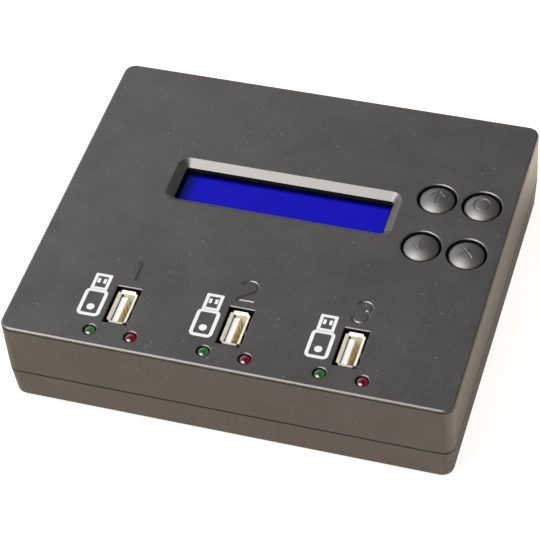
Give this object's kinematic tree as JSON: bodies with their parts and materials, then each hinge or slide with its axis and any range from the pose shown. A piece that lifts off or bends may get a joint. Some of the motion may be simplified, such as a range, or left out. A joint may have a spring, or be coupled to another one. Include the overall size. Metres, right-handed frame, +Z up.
{
  "type": "usb duplicator",
  "caption": "Desk-top drive duplicator: flat charcoal box with upright sockets, lamp pairs, a sunken blue display and domed round keys.",
  "frame": {"origin": "middle of the footprint, on the plane of the rubber feet", "axes": "+X to the right along the row of sockets, +Y to the back, +Z up"},
  "size_m": [0.15, 0.1282, 0.0362],
  "materials": {
    "case_plastic": "fine-textured moulded ABS, charcoal grey",
    "key_plastic": "smooth satin moulded ABS, dark grey",
    "foot_rubber": "matt black rubber",
    "zinc_steel": "zinc-plated steel",
    "bezel_steel": "bare stamped steel",
    "socket_steel": "nickel-plated stamped steel",
    "gold_plate": "gold-plated spring bronze",
    "tinned_wire": "tinned wire and strip",
    "white_plastic": "smooth white moulded plastic",
    "black_plastic": "black moulded nylon",
    "circuit_board": "green glass-fibre board with solder mask",
    "chip_resin": "black moulded resin",
    "capacitor_can": "aluminium can",
    "strip_rubber": "layered conductive rubber",
    "display_blue": "backlit blue liquid-crystal glass",
    "green_resin": "tinted clear epoxy, unlit",
    "red_resin": "tinted clear epoxy, unlit"
  },
  "bodies": {
    "root": {"top_cover": "case_plastic", "bottom_cover": "case_plastic", "rubber_feet": "foot_rubber", "case_screws": "zinc_steel", "control_board_screws": "zinc_steel", "main_board": "circuit_board", "control_board": "circuit_board", "lamp_spacers": "black_plastic", "lamp_leads": "tinned_wire", "header_strip": "black_plastic", "header_pins": "gold_plate", "display_bezel": "bezel_steel", "display_glass": "display_blue", "contact_strips": "strip_rubber", "display_backlight": "white_plastic", "switch_legs": "tinned_wire", "power_jack": "black_plastic", "jack_pin": "tinned_wire", "jack_leaf": "tinned_wire", "controller_chip": "chip_resin", "memory_chip": "chip_resin", "regulator": "chip_resin", "crystal": "bezel_steel", "capacitor": "capacitor_can", "inductor": "chip_resin", "green_lamps": "green_resin", "red_lamps": "red_resin", "usb_shell_1": "socket_steel", "usb_tongue_1": "white_plastic", "usb_contacts_1": "gold_plate", "usb_shell_2": "socket_steel", "usb_tongue_2": "white_plastic", "usb_contacts_2": "gold_plate", "usb_shell_3": "socket_steel", "usb_tongue_3": "white_plastic", "usb_contacts_3": "gold_plate", "up_switch": "black_plastic", "select_switch": "black_plastic", "down_switch": "black_plastic", "cancel_switch": "black_plastic"},
    "up_button": {"up_key": "key_plastic", "up_plunger": "black_plastic"},
    "select_button": {"select_key": "key_plastic", "select_plunger": "black_plastic"},
    "down_button": {"down_key": "key_plastic", "down_plunger": "black_plastic"},
    "cancel_button": {"cancel_key": "key_plastic", "cancel_plunger": "black_plastic"}
  },
  "joints": [
    {"name": "up_press", "type": "slide", "parent": "root", "child": "up_button", "axis": [0, 0, -1], "range_m": [0, 0.0004], "stiffness_N_per_m": 600, "springref_m": -0.0006},
    {"name": "select_press", "type": "slide", "parent": "root", "child": "select_button", "axis": [0, 0, -1], "range_m": [0, 0.0004], "stiffness_N_per_m": 600, "springref_m": -0.0006},
    {"name": "down_press", "type": "slide", "parent": "root", "child": "down_button", "axis": [0, 0, -1], "range_m": [0, 0.0004], "stiffness_N_per_m": 600, "springref_m": -0.0006},
    {"name": "cancel_press", "type": "slide", "parent": "root", "child": "cancel_button", "axis": [0, 0, -1], "range_m": [0, 0.0004], "stiffness_N_per_m": 600, "springref_m": -0.0006}
  ]
}
